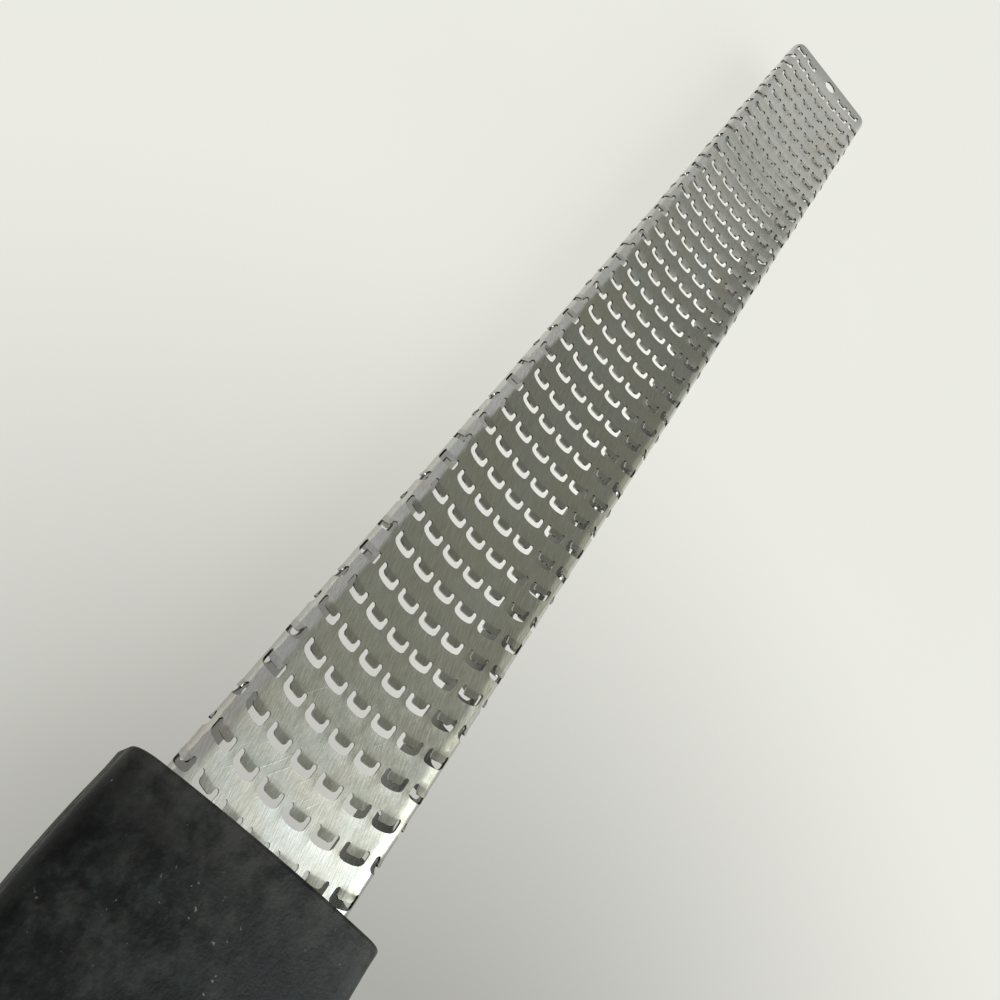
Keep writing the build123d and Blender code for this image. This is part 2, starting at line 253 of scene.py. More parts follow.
# %% [markdown]
# The tongue isn't just tilted. It leaves the sheet without a crease at its root and bends up more
# and more towards its sharp edge, so its height is a power a little above one of the distance from
# the root. The sheet behind the slot is pushed up a little too. Both catch the light, and that is
# what makes the rows of teeth show at the far end, where no light comes through the slots.

# %% Height of one tooth
tooth_rise = 0.07 * mm
bend_power = 1.3
rim_rise = 0.02 * mm

tooth_column = np.abs(np.arange(cells_across + 1) - half_tooth)
is_tongue = np.zeros(cell_across.shape, bool)
is_tongue[tongue_free_line:hinge_line, tooth_column <= tongue_column] = True
from_root = np.clip((slot_front - cell_along) / (slot_front - tongue_free), 0, 1)
cell_height = np.where(is_tongue, tooth_rise * from_root**bend_power, 0)
from_slot = np.clip((cell_along - band_back) / (slot_back - band_back), 0, 1)
behind_line = np.arange(len(band_lines))[:, None] <= slot_back_line
behind_slot = behind_line & (tooth_column < half_tooth)
cell_height = np.where(behind_slot, rim_rise * from_slot**2, cell_height)
cell_height[tongue_free_line, tooth_column == slot_column] = rim_rise / 2
print("teeth rise", tooth_rise / mm, "mm")


# %% Where there are teeth
def has_tooth(across, along):
    """Whether the pattern has a tooth at each place: not past its sides, the hole or the far end."""
    front = along + slot_front
    on_flange = np.abs(across) > flat_half_width + bend_radius
    flange_last = corner_x - tip_sweep - corner_margin
    last_front = np.where(on_flange, flange_last, tip_x - end_margin)
    gap_across = np.maximum(np.abs(across) - slot_half_width, 0)
    gap_along = np.maximum(along + slot_back - tip_hole_x, tip_hole_x - front)
    clear = np.hypot(gap_across, np.maximum(gap_along, 0)) > tip_hole_radius + tip_hole_margin
    return (np.abs(across) <= toothed_half_width) & (front <= last_front) & clear


column_count = round(sheet_half_width / cell_width)
column = np.arange(-column_count, column_count + 1)
column_across = column * cell_width + pattern_shift
column_across[0], column_across[-1] = -sheet_half_width, sheet_half_width
row = np.arange(row_count)[:, None]
row_shift = row_shift_cells[row % len(row_shift_cells)]
cell_column = (column - row_shift + half_tooth) % cells_across
tooth_middle = (column - cell_column + half_tooth) * cell_width + pattern_shift
row_along = collar_x - first_row_setback + row * row_pitch
toothed = has_tooth(tooth_middle, row_along + tooth_middle**2 / (2 * row_radius))
tooth_starts = toothed & (cell_column == 0)
print(int(tooth_starts.sum()), "teeth in", row_count, "rows, on", len(column), "columns of cells")

# %% [markdown]
# All corners of the pattern are worked out in one go, as arrays with one axis for the rows of teeth,
# one for the nine lines of a row and one for the columns. No two teeth of a real blade are quite
# alike, so each gets its own small share of extra height and of sideways tilt from a seeded draw.

# %% All corners of the pattern
uneven_rise_share = 0.1
uneven_tilt = radians(2.0)
draw_seed = 7

draw = np.random.default_rng(draw_seed)
tooth_number = (column - cell_column + column_count + cells_across) // cells_across
draws_per_row = tooth_number.max() + 1
rise_draw = draw.uniform(-1, 1, (row_count, draws_per_row))
tilt_draw = draw.uniform(-1, 1, (row_count, draws_per_row))
rise_share = 1 + uneven_rise_share * np.take_along_axis(rise_draw, tooth_number, axis=1)
side_tilt = uneven_tilt * np.take_along_axis(tilt_draw, tooth_number, axis=1)

toothed_cells = toothed[:, None, :]
here = cell_across.T[cell_column].transpose(0, 2, 1)
across = np.where(toothed_cells, tooth_middle[:, None, :] + here, column_across)
along = np.where(
    toothed_cells, cell_along.T[cell_column].transpose(0, 2, 1), band_lines[None, :, None]
)
along = row_along[:, :, None] + along + across**2 / (2 * row_radius)
tongue_here = toothed_cells & is_tongue.T[cell_column].transpose(0, 2, 1)
height = np.where(toothed_cells, cell_height.T[cell_column].transpose(0, 2, 1), 0)
height = height * np.where(tongue_here, rise_share[:, None, :], 1)
height = height + np.where(tongue_here, here * np.sin(side_tilt)[:, None, :] * height / tooth_rise, 0)
print("corners of the pattern", across.shape)

# %% Join the rows of cells
line_count = len(band_lines) - 1


def joined(values):
    """The lines of all rows one after another. A row's last line is the next row's first."""
    return np.concatenate([values[:, :-1].reshape(-1, len(column)), values[-1:, -1]])


def left_out_cells():
    """Which cells are slot: behind the tongue's free edge, and at both of its sides."""
    cell = cell_column[:, None, :-1] - half_tooth
    line = np.arange(line_count)[None, :, None]
    in_slot = (cell >= -slot_column) & (cell < slot_column)
    in_tongue = (cell >= -tongue_column) & (cell < tongue_column)
    behind = line == slot_back_line
    beside = (line > slot_back_line) & (line < hinge_line) & ~in_tongue
    left_out = toothed[:, None, :-1] & in_slot & (behind | beside)
    return left_out.reshape(-1, len(column) - 1)


grid_across = joined(across)
grid_along = joined(along)
grid_height = joined(height)
grid_tongue = joined(np.broadcast_to(tongue_here, across.shape).astype(float))
grid_middle = joined(np.broadcast_to(tooth_middle[:, None, :], across.shape))
slot_cells = left_out_cells()
print("slot cells", int(slot_cells.sum()), "of", slot_cells.size)

# %% [markdown]
# The rows curve but the blade's end is straight. Past the last tooth of each column, the lines that
# are left are squeezed or stretched, to end where the roll starts.

# %% Fit the far end
fitting_start = 145 * mm
touching = toothed | np.roll(toothed, 1, axis=1)
hinge_along = along[:, hinge_line, :]
fixed_along = np.where(touching, hinge_along, fitting_start).max(axis=0)
stretch = (roll_start - fixed_along) / (grid_along[-1] - fixed_along)
past_fixed = np.maximum(grid_along - fixed_along, 0)
grid_along = np.minimum(grid_along, fixed_along) + past_fixed * stretch
print("the roots of the last teeth reach", round(fixed_along.max() / mm, 1), "mm")

# %% [markdown]
# The tip's hole is a block of cells in the last row that is left out. The block is square, so its
# corners are moved out to a circle first.

# %% Round hole at the tip
hole_half_columns = 3
least_distance = 0.001 * mm
hole_low = (row_count - 1) * line_count + 1
hole_high = row_count * line_count - 1
hole_left = column_count - hole_half_columns
hole_right = column_count + hole_half_columns


def round_hole():
    """Moves the block's corners along their own directions from the hole's centre to its circle."""
    block = slice(hole_low, hole_high + 1), slice(hole_left, hole_right + 1)
    from_centre = grid_along[block] - tip_hole_x
    aside = grid_across[block]
    distance = np.maximum(np.hypot(from_centre, aside), least_distance)
    grid_along[block] = tip_hole_x + from_centre / distance * tip_hole_radius
    grid_across[block] = aside / distance * tip_hole_radius


round_hole()
slot_cells[hole_low:hole_high, hole_left:hole_right] = True
print("round hole of", 2 * tip_hole_radius / mm, "mm,", tip_hole_from_end / mm, "mm from the end")

# %% [markdown]
# The pattern stops at both ends. The tang inside the handle is straight and plain, so a few lines
# are enough for it. The roll at the far end is an arc that shows in the blade's outline, so it gets
# more, and they lie closer together where it ends.

# %% Plain sheet at both ends
tang_lines = 3
roll_lines = 10


def last_roll(across):
    """How far round the end's roll the sheet goes, at each distance across the flat sheet.

    A point's depth is bend radius (1 - cos turn) + inset cos turn, and its inset is roll radius
    (1 - cos roll). On the face and the upper bends that depth ends at the lip. Lower down, the
    sheet stops where the corner is relieved.
    """
    lip_turn = acos(1 - tip_lip / bend_radius)
    turn = np.clip((np.abs(across) - flat_half_width) / middle_radius, 0, lip_turn)
    inset = (tip_lip - bend_radius * (1 - np.cos(turn))) / np.cos(turn)
    relief_roll = asin((corner_x - roll_start) / tip_radius)
    return np.maximum(np.arccos(1 - inset / tip_radius), relief_roll)


tang_share = np.linspace(0, 1, tang_lines, endpoint=False)[:, None]
tang_along = tang_x + (grid_along[:1] - tang_x) * tang_share
roll_share = np.sin(np.linspace(0, pi / 2, roll_lines + 1))[1:, None]
roll_angle = roll_share * last_roll(column_across)
roll_along = roll_start + tip_radius * np.sin(roll_angle)


def with_ends(values, tang_values, roll_values):
    """The pattern's lines with the tang's in front and the roll's after."""
    tang_values = np.broadcast_to(tang_values, (tang_lines, len(column)))
    roll_values = np.broadcast_to(roll_values, (roll_lines, len(column)))
    return np.concatenate([tang_values, values, roll_values])


plain = np.zeros((1, len(column)))
sheet_along = with_ends(grid_along, tang_along, roll_along)
sheet_across = with_ends(grid_across, column_across, column_across)
sheet_height = with_ends(grid_height, plain, plain)
sheet_tongue = with_ends(grid_tongue, plain, plain)
sheet_middle = with_ends(grid_middle, column_across, column_across)
sheet_roll = with_ends(np.zeros_like(grid_along), plain, roll_angle)
print("lines of the whole sheet", len(sheet_along))

# %% [markdown]
# The flanges' far corners sweep up to the rolled end, so that no sharp point is left to catch on a
# cloth. No cell is cut for that. The columns on a flange are drawn up to stop at the swept edge.

# %% Sweep the flanges' far corners
sweep_room = 0.6 * mm


def sweep_columns(across, along, roll):
    """Draws the flange's columns up to the swept edge.

    The edge is a quarter circle up from the flange's bottom. On the bend, its height gives the turn
    where the sheet ends, by cos turn = height over the bend's centre / radius. On the flange it
    gives the length left. The columns past a place a little short of that edge are squeezed.
    """
    past = np.clip(along - (corner_x - tip_sweep), 0, tip_sweep)
    edge_z = flange_z + tip_sweep * (1 - np.sqrt(1 - (past / tip_sweep) ** 2))
    over_centre = edge_z - (face_height - bend_radius)
    radius = bend_radius - tip_radius * (1 - np.cos(roll))
    edge_turn = np.arccos(np.clip(over_centre / radius, cos(full_turn), 1))
    down_flange = np.maximum(-radius * sin(flange_lean) - over_centre, 0) / cos(flange_lean)
    reach = flat_half_width + middle_radius * edge_turn + down_flange
    kept = np.minimum(bend_end, reach - sweep_room)
    squeeze = (reach - kept) / (sheet_half_width - kept)
    past_kept = np.maximum(np.abs(across) - kept, 0)
    return np.sign(across) * (np.minimum(np.abs(across), kept) + past_kept * squeeze)


sheet_across = sweep_columns(sheet_across, sheet_along, sheet_roll)
print("swept corners", round(tip_sweep / mm, 1), "mm long")

# %% [markdown]
# On a bend, a tongue that is cut free on three sides follows the bend only in part. It stays flatter
# and stands out, which gives the blade's edges their rough outline. So a tongue's corners are drawn
# halfway to the plane that touches the bend at the tooth's middle, and its root follows the curve.

# %% Place the outside and the inside
flat_from_root = 0.35
flat_share = 0.5


def place_sheet(across, along, roll, middle, tongue, height):
    """Corners of the sheet's outside, and of its inside, which lies one thickness further in.

    The bend gives a corner's place. A tongue's corner is then drawn up to halfway to the plane
    that touches the bend at the tooth's middle, by a share that grows with its height. Last,
    each corner is raised by its height, square to the sheet.
    """
    inset = tip_radius * (1 - np.cos(roll))
    point, facing = bent(across, inset)
    centre, centre_facing = bent(middle, inset)
    sideways = np.stack([0 * across, -centre_facing[..., 2], centre_facing[..., 1]], axis=-1)
    flat = centre + (across - middle)[..., None] * sideways
    level_share = flat_share * np.clip(height / (flat_from_root * tooth_rise), 0, 1) * tongue
    point = point + (flat - point) * level_share[..., None]
    facing = facing + (centre_facing - facing) * level_share[..., None]
    facing = facing * np.cos(roll)[..., None]
    facing[..., 0] += np.sin(roll)
    facing /= np.linalg.norm(facing, axis=-1, keepdims=True)
    point[..., 0] += along
    outside = point + facing * height[..., None]
    return outside, outside - facing * sheet


outside, inside = place_sheet(
    sheet_across, sheet_along, sheet_roll, sheet_middle, sheet_tongue, sheet_height
)
print("corners a side", outside.shape[0] * outside.shape[1])

# %% Faces of the blade
open_cells = np.zeros((outside.shape[0] - 1, outside.shape[1] - 1), bool)
open_cells[tang_lines : tang_lines + len(slot_cells)] = slot_cells


def sheet_faces(open_cells):
    """Four corners for every cell that isn't open, on both sides, and walls round all the edges.

    A wall stands on each side of a cell that no other cell shares.
    """
    corner = np.arange(outside.shape[0] * outside.shape[1]).reshape(outside.shape[:2])
    cells = np.stack([corner[:-1, :-1], corner[:-1, 1:], corner[1:, 1:], corner[1:, :-1]], axis=-1)
    cells = cells[~open_cells]
    sides = np.stack([cells, np.roll(cells, -1, axis=1)], axis=-1).reshape(-1, 2)
    key = np.sort(sides, axis=1) @ np.array([corner.size, 1])
    first, uses = np.unique(key, return_index=True, return_counts=True)[1:]
    a, b = sides[first[uses == 1]].T
    walls = np.stack([b, a, a + corner.size, b + corner.size], axis=-1)
    return np.concatenate([cells, cells[:, ::-1] + corner.size, walls]), len(walls)


blade_faces, wall_count = sheet_faces(open_cells)
blade_corners = np.concatenate([outside.reshape(-1, 3), inside.reshape(-1, 3)])
print("blade faces", len(blade_faces), "of them walls of edges", wall_count)


# %% Make the blade's mesh
def make_piece(name, corners, faces, sharp_angle):
    """A piece of four-sided faces, smooth but for the edges that turn by more than an angle."""
    used, faces = np.unique(faces, return_inverse=True)
    faces = faces.reshape(-1, 4)
    corners = corners[used]
    mesh = bpy.data.meshes.new(name)
    mesh.vertices.add(len(corners))
    mesh.vertices.foreach_set("co", corners.astype(np.float32).ravel())
    mesh.loops.add(faces.size)
    mesh.loops.foreach_set("vertex_index", faces.astype(np.int32).ravel())
    mesh.polygons.add(len(faces))
    mesh.polygons.foreach_set("loop_start", np.arange(0, faces.size, 4, dtype=np.int32))
    mesh.update(calc_edges=True)
    mesh.polygons.foreach_set("use_smooth", np.ones(len(faces), bool))
    mesh.set_sharp_from_angle(angle=sharp_angle)
    piece = bpy.data.objects.new(name, mesh)
    bpy.context.collection.objects.link(piece)
    return piece


crease_angle = radians(50)
blade = make_piece("etched_blade", blade_corners, blade_faces, crease_angle)
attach(blade, "root")
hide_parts("rasp_blade")
print("blade triangles", 2 * len(blade.data.polygons))

# %% [markdown]
# Only the outside of the sheet is polished and brushed. The acid turns the walls of the slots nearly
# black but leaves a tongue's cutting edge bright, the unpolished inside is a darker grey, and the
# tongues have lost some of their shine. An attribute on the corners of the faces tells the material
# how etched each place is. Corners of one face don't share it with the next face, so a wall stays
# black right up to the bright face beside it.

# %% Where the acid dulled the sheet
tongue_etch, inside_etch, edge_etch = 0.28, 0.74, 0.3


def mark_etched():
    """How etched each face's corners are: on the outside the tongues, and all of the inside.

    The walls are etched fully, but for a tongue's own cutting edge, which stays nearly bright.
    """
    tongue = sheet_tongue.ravel()
    outer_count = (len(blade_faces) - wall_count) // 2
    etched = np.ones(blade_faces.shape, np.float32)
    etched[:outer_count] = tongue_etch * tongue[blade_faces[:outer_count]]
    etched[outer_count : 2 * outer_count] = inside_etch
    edges = tongue[blade_faces[2 * outer_count :] % tongue.size]
    etched[2 * outer_count :] = 1 - (1 - edge_etch) * edges
    attribute = blade.data.attributes.new("etched", "FLOAT", "CORNER")
    attribute.data.foreach_set("value", etched.ravel())
    return etched


print("etched share of the corners", round(float(mark_etched().mean()), 2))

# %% [markdown]
# Materials are built from a few nodes each, so small helpers for adding and linking them keep every
# material short. All patterns read Object coordinates: each piece sits at the origin with its place in
# its mesh, so those coordinates are real metres on the object.


# %% Helpers for materials
class Nodes:
    """The nodes of one material or of the world."""

    def __init__(self, owner):
        owner.use_nodes = True
        self.tree = owner.node_tree
        self.tree.nodes.clear()

    def add(self, kind, inputs=None, **settings):
        """A node with its settings, and its sockets set to a value or linked to another socket."""
        node = self.tree.nodes.new(kind)
        for name, value in settings.items():
            setattr(node, name, value)
        for name, value in (inputs or {}).items():
            if isinstance(value, bpy.types.NodeSocket):
                self.tree.links.new(value, node.inputs[name])
            else:
                node.inputs[name].default_value = value
        return node

    def noise(self, place, scale, detail=3.0, roughness=0.5):
        """A noise pattern from 0 to 1 at a place. The scale is in patches to a metre."""
        inputs = {"Vector": place, "Scale": scale, "Detail": detail, "Roughness": roughness}
        return self.add("ShaderNodeTexNoise", inputs).outputs["Fac"]

    def stretched(self, place, size, turn=0.0):
        """The place turned in plan, then with each direction drawn out by a size."""
        inputs = {"Vector": place, "Scale": size, "Rotation": (0, 0, turn)}
        return self.add("ShaderNodeMapping", inputs, vector_type="TEXTURE").outputs["Vector"]

    def ramp(self, value, low, high, to_low=0.0, to_high=1.0):
        """The value from low to high, brought to another range and held at its ends."""
        inputs = {"Value": value, "From Min": low, "From Max": high, "To Min": to_low, "To Max": to_high}
        return self.add("ShaderNodeMapRange", inputs).outputs["Result"]

    def mix(self, share, first, second):
        """One colour into another by a share. The sockets for colours are numbers 6 and 7."""
        inputs = {0: share, 6: first, 7: second}
        return self.add("ShaderNodeMix", inputs, data_type="RGBA").outputs[2]

    def math(self, operation, first, second):
        """One sum of two values."""
        return self.add("ShaderNodeMath", {0: first, 1: second}, operation=operation).outputs[0]

    def split(self, place):
        """The place's parts along X, Y and Z."""
        return self.add("ShaderNodeSeparateXYZ", {"Vector": place}).outputs

    def blend(self, share, first, second):
        """One shader into another by a share."""
        inputs = {0: share, 1: first.outputs[0], 2: second.outputs[0]}
        return self.add("ShaderNodeMixShader", inputs)

    def bump(self, height, distance, strength=1.0, under=None):
        """Fine relief of a real depth, on top of another relief if one is given."""
        inputs = {"Height": height, "Distance": distance, "Strength": strength}
        if under:
            inputs["Normal"] = under
        return self.add("ShaderNodeBump", inputs).outputs["Normal"]

    def surface(self, shader, output="ShaderNodeOutputMaterial"):
        """The output that shows a shader."""
        self.add(output, {"Surface": shader.outputs[0]})


def new_material(name):
    """An empty material and its nodes, with the place on the object."""
    material = bpy.data.materials.new(name)
    nodes = Nodes(material)
    place = nodes.add("ShaderNodeTexCoord").outputs["Object"]
    return material, nodes, place


print("helpers", ", ".join(name for name in vars(Nodes) if not name.startswith("_")))

# %% [markdown]
# The sheet was brushed before it was etched, so its grain is short fine lines, a little aslant to the
# blade, with a few longer scratches across them and dull patches where it has been handled. The far
# end is painted a darker grey, a painted shade that darkens its reflection. A mirror with a little
# roughness gives the metal, and relief of a hundredth of a millimetre tilts it enough for the grain
# to show wherever the reflection changes from bright to dark.


# %% Blade steel
grain_turn = radians(15)
scratch_turn = radians(-32)
end_shade_length = 7.5 * mm
grain_scale, fine_grain_scale, scratch_scale, pit_scale = 4800, 8000, 2600, 5200
patch_scale, cloud_scale = 190, 45
grain_draw, fine_grain_draw, scratch_draw, wave_draw = 5.5, 22, 18, 1.6
wave_depth, patch_depth = 0.25 * mm, 0.02 * mm
grain_depth, scratch_depth, pit_depth = 0.014 * mm, 0.003 * mm, 0.007 * mm
grain_dark, grain_bright = (0.51, 0.50, 0.47, 1), (0.69, 0.685, 0.66, 1)
dull_warm, dull_cool = (0.54, 0.505, 0.43, 1), (0.53, 0.55, 0.53, 1)
end_shade_grey = (0.44, 0.44, 0.42, 1)
etched_grey = (0.13, 0.13, 0.12, 1)
etched_roughness = 0.05


def blade_steel():
    """Brushed stainless steel with grain, scratches and dull patches, and its etched places."""
    material, nodes, place = new_material("blade_steel")
    grain_place = nodes.stretched(place, (grain_draw, 1, 1), grain_turn)
    grain = nodes.noise(grain_place, grain_scale, 3, 0.6)
    fine_place = nodes.stretched(place, (fine_grain_draw, 1, 1), grain_turn)
    fine_grain = nodes.noise(fine_place, fine_grain_scale, 2)
    scratch_place = nodes.stretched(place, (scratch_draw, 1, 1), scratch_turn)
    scratches = nodes.ramp(nodes.noise(scratch_place, scratch_scale, 2), 0.68, 0.76)
    patches = nodes.noise(place, patch_scale, 5, 0.6)
    clouds = nodes.noise(place, cloud_scale, 3)
    waves = nodes.noise(nodes.stretched(place, (wave_draw, 1, 1)), cloud_scale, 2)
    pits = nodes.noise(place, pit_scale, 3)
    etched = nodes.add("ShaderNodeAttribute", attribute_name="etched").outputs["Fac"]
    relief = nodes.bump(waves, wave_depth, 0.35)
    relief = nodes.bump(patches, patch_depth, 0.5, relief)
    relief = nodes.bump(grain, grain_depth, 1.0, relief)
    relief = nodes.bump(scratches, scratch_depth, 1.0, relief)
    relief = nodes.bump(nodes.math("MULTIPLY", pits, etched), pit_depth, 1.0, relief)
    polished = nodes.mix(nodes.ramp(fine_grain, 0.35, 0.65), grain_dark, grain_bright)
    dull = nodes.mix(nodes.ramp(patches, 0.4, 0.6), dull_warm, dull_cool)
    polished = nodes.mix(nodes.ramp(clouds, 0.4, 0.65, 0.15, 0.7), polished, dull)
    # Painted shade: the last few millimetres before the far end get a darker grey, which darkens their
    # reflection.
    along = nodes.split(place)["X"]
    end = nodes.ramp(along, tip_x - end_shade_length, tip_x - end_shade_length / 2)
    polished = nodes.mix(end, polished, end_shade_grey)
    roughness = nodes.ramp(nodes.math("ADD", clouds, grain), 0.8, 1.2, 0.15, 0.24)
    inputs = {
        "Base Color": nodes.mix(etched, polished, etched_grey),
        "Metallic": 1.0,
        "Roughness": nodes.math("ADD", roughness, nodes.math("MULTIPLY", etched, etched_roughness)),
        "Normal": relief,
    }
    nodes.surface(nodes.add("ShaderNodeBsdfPrincipled", inputs))
    return material


blade.data.materials.append(blade_steel())
print("blade material", blade.data.materials[0].name)

# %% [markdown]
# The handle is a hard black moulding that has been in a drawer for years. Its skin is a fine grain
# from the mould, and dust and dried food leave a faint grey-green bloom with a few pale specks. Its
# front rim and some stains are rubbed to a brownish grey. All that is only colour and roughness. The
# grain is relief.


# %% Handle plastic
worn_length = 8 * mm
skin_scale, lump_scale = 2600, 420
bloom_scale, bloom_cloud_scale, dust_scale = 240, 60, 900
speck_scale, speck_cloud_scale = 1300, 90
stain_scale, rubbed_scale = 150, 330
lump_depth, skin_depth = 0.12 * mm, 0.05 * mm
dust_share = 0.35
bloom_power = 1.5
black = (0.002, 0.002, 0.002, 1)
bloom_grey = (0.019, 0.023, 0.021, 1)
worn_brown = (0.033, 0.0315, 0.028, 1)
speck_grey = (0.10, 0.105, 0.10, 1)


def handle_plastic(name, bloom_share):
    """Matte black plastic with a moulded grain, a grey bloom, a rubbed front rim and pale specks."""
    material, nodes, place = new_material(name)
    skin = nodes.noise(place, skin_scale, 3, 0.6)
    lumps = nodes.noise(place, lump_scale, 3)
    bloom = nodes.ramp(nodes.noise(place, bloom_scale, 6, 0.7), 0.4, 0.62)
    bloom_cloud = nodes.ramp(nodes.noise(place, bloom_cloud_scale, 3), 0.35, 0.6, 0.2, 1.0)
    bloom = nodes.math("MULTIPLY", nodes.math("MULTIPLY", bloom, bloom_cloud), 1 - dust_share)
    dust = nodes.ramp(nodes.noise(place, dust_scale, 5, 0.7), 0.45, 0.62)
    bloom = nodes.math("ADD", bloom, nodes.math("MULTIPLY", dust, dust_share))
    bloom = nodes.math("POWER", bloom, bloom_power)
    specks = nodes.ramp(nodes.noise(place, speck_scale, 2), 0.71, 0.75)
    speck_cloud = nodes.ramp(nodes.noise(place, speck_cloud_scale, 2), 0.45, 0.6)
    specks = nodes.math("MULTIPLY", specks, speck_cloud)
    rim = nodes.ramp(nodes.split(place)["X"], collar_x - worn_length, collar_x)
    stains = nodes.ramp(nodes.noise(place, stain_scale, 5, 0.7), 0.5, 0.66, 0.0, 0.6)
    rubbed = nodes.ramp(nodes.noise(place, rubbed_scale, 5, 0.65), 0.38, 0.6, 0.1, 1.0)
    rubbed = nodes.math("MULTIPLY", rubbed, nodes.math("MAXIMUM", rim, stains))
    colour = nodes.mix(nodes.math("MULTIPLY", bloom, bloom_share), black, bloom_grey)
    colour = nodes.mix(nodes.math("MULTIPLY", rubbed, bloom_share), colour, worn_brown)
    colour = nodes.mix(nodes.math("MULTIPLY", specks, bloom_share), colour, speck_grey)
    inputs = {
        "Base Color": colour,
        "Roughness": nodes.ramp(bloom, 0, 1, 0.4, 0.7),
        "Specular IOR Level": 0.15,
        "Normal": nodes.bump(skin, skin_depth, 1.0, nodes.bump(lumps, lump_depth, 0.4)),
    }
    nodes.surface(nodes.add("ShaderNodeBsdfPrincipled", inputs))
    return material


shell_material = handle_plastic("handle_black", bloom_share=1.0)
insert_material = handle_plastic("insert_black", bloom_share=0.4)
print("handle materials", shell_material.name, "and", insert_material.name)

# %% [markdown]
# Two ground steel pins hold the blade's tang. They are hidden inside the handle and show only when
# it is taken apart, so fine lines along the pin are all that their steel needs. The lines are a
# noise pattern drawn out along Z, the way the pins stand.

# %% Pin steel
pin_line_scale, pin_line_draw = 900, 12
pin_line_depth = 0.01 * mm
pin_dark, pin_bright = (0.50, 0.50, 0.48, 1), (0.62, 0.62, 0.60, 1)


def pin_steel():
    """Ground steel with fine lines along the pin."""
    material, nodes, place = new_material("pin_steel")
    lines = nodes.noise(nodes.stretched(place, (1, 1, pin_line_draw)), pin_line_scale, 2)
    inputs = {
        "Base Color": nodes.mix(lines, pin_dark, pin_bright),
        "Metallic": 1.0,
        "Roughness": nodes.ramp(lines, 0.3, 0.7, 0.25, 0.40),
        "Normal": nodes.bump(lines, pin_line_depth, 0.5),
    }
    nodes.surface(nodes.add("ShaderNodeBsdfPrincipled", inputs))
    return material


# %% [markdown]
# The handle's shells, the insert and the pins keep the CAD model's shape, which is already as fine
# as they need. They only get new materials. Both shells share one, so its colour runs on over the
# seam between them.


# %% Dress the CAD pieces
def dress(node, material):
    """Puts a material on a CAD node in place of its own."""
    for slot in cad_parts[node].material_slots:
        slot.link = "OBJECT"
        slot.material = material


dress("handle_upper_shell", shell_material)
dress("handle_lower_shell", shell_material)
dress("tang_insert", insert_material)
dress("tang_pins", pin_steel())
print("dressed", ", ".join(sorted(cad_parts)))

# %% [markdown]
# The zester lies on a pale board in soft daylight. The floor is plain. Where the camera or the metal
# sees it, it also glows a little, so that it stays pale under the blade, where the slots show it, and
# it still takes the shadows that seat the handle on it. Its colour holds two soft painted shadows: a
# wide one round the handle, and a narrow one under the blade's far end and a little past it, where
# hardly any light gets in. Under the rest of the blade a strip of painted light glows a little more.

# %% Floor
floor_half = 3.0
floor_pale, floor_mottle = (0.80, 0.795, 0.74, 1), (0.79, 0.785, 0.73, 1)
shade_black = (0, 0, 0, 1)
mottle_scale = 14
glow_share = 0.85
shade_place = Vector((-88, -34, 0)) * mm
shade_far = 150 * mm
shade_share, shade_most = 0.81, 0.5
shade_power = 1.6
under_near, under_near_fade = 117 * mm, 11 * mm
under_far, under_far_fade = 176 * mm, 7 * mm
under_middle, under_half_width, under_side_fade = -2.8 * mm, 8 * mm, 4 * mm
under_share = 0.52
under_glow = 1.18


def make_floor():
    """A wide square at the height of the object's lowest point."""
    ends = np.array([-floor_half, floor_half])
    x, y = np.meshgrid(ends, ends)
    corners = np.stack([x.ravel(), y.ravel(), np.full(4, cad_low.z)], axis=-1)
    return make_piece("floor", corners, np.array([[0, 1, 3, 2]]), crease_angle)


def floor_board():
    """A pale matte floor that is partly lit by itself where the camera or a mirror sees it.

    The wide shade is a power of the nearness to its place. The narrow one is where the place is
    past its near end, before its far end and beside its middle line, each with its own fade.
    """
    material, nodes, place = new_material("floor_board")
    mottle = nodes.ramp(nodes.noise(place, mottle_scale, 4), 0.3, 0.7)
    colour = nodes.mix(mottle, floor_pale, floor_mottle)
    # Painted shadow: the colour darkens towards a place just right of the handle.
    from_shade = nodes.add("ShaderNodeVectorMath", {0: place, 1: shade_place}, operation="DISTANCE")
    nearness = nodes.ramp(from_shade.outputs["Value"], shade_far, 0)
    shade = nodes.math("MULTIPLY", nodes.math("POWER", nearness, shade_power), shade_share)
    colour = nodes.mix(nodes.math("MINIMUM", shade, shade_most), colour, shade_black)
    spot = nodes.split(place)
    # Painted shade under the blade's far end and a little past it.
    begins = nodes.ramp(spot["X"], under_near, under_near + under_near_fade)
    ends = nodes.ramp(spot["X"], under_far + under_far_fade, under_far)
    aside = nodes.math("ABSOLUTE", nodes.math("SUBTRACT", spot["Y"], under_middle), 0)
    beside = nodes.ramp(aside, under_half_width + under_side_fade, under_half_width)
    under = nodes.math("MULTIPLY", nodes.math("MINIMUM", begins, ends), beside)
    colour = nodes.mix(nodes.math("MULTIPLY", under, under_share), colour, shade_black)
    # Painted light: a strip under the rest of the blade glows more.
    ahead = nodes.ramp(spot["X"], collar_x - under_near_fade, collar_x)
    lit = nodes.math("MINIMUM", nodes.math("SUBTRACT", beside, begins), ahead)
    strength = nodes.ramp(lit, 0, 1, 1.0, under_glow)
    seen = nodes.add("ShaderNodeLightPath").outputs
    share = nodes.math("MAXIMUM", seen["Is Camera Ray"], seen["Is Glossy Ray"])
    matte = nodes.add("ShaderNodeBsdfDiffuse", {"Color": colour})
    glow = nodes.add("ShaderNodeEmission", {"Color": colour, "Strength": strength})
    nodes.surface(nodes.blend(nodes.math("MULTIPLY", share, glow_share), matte, glow))
    return material


floor = make_floor()
floor.data.materials.append(floor_board())
print("floor at", round(cad_low.z / mm, 2), "mm")

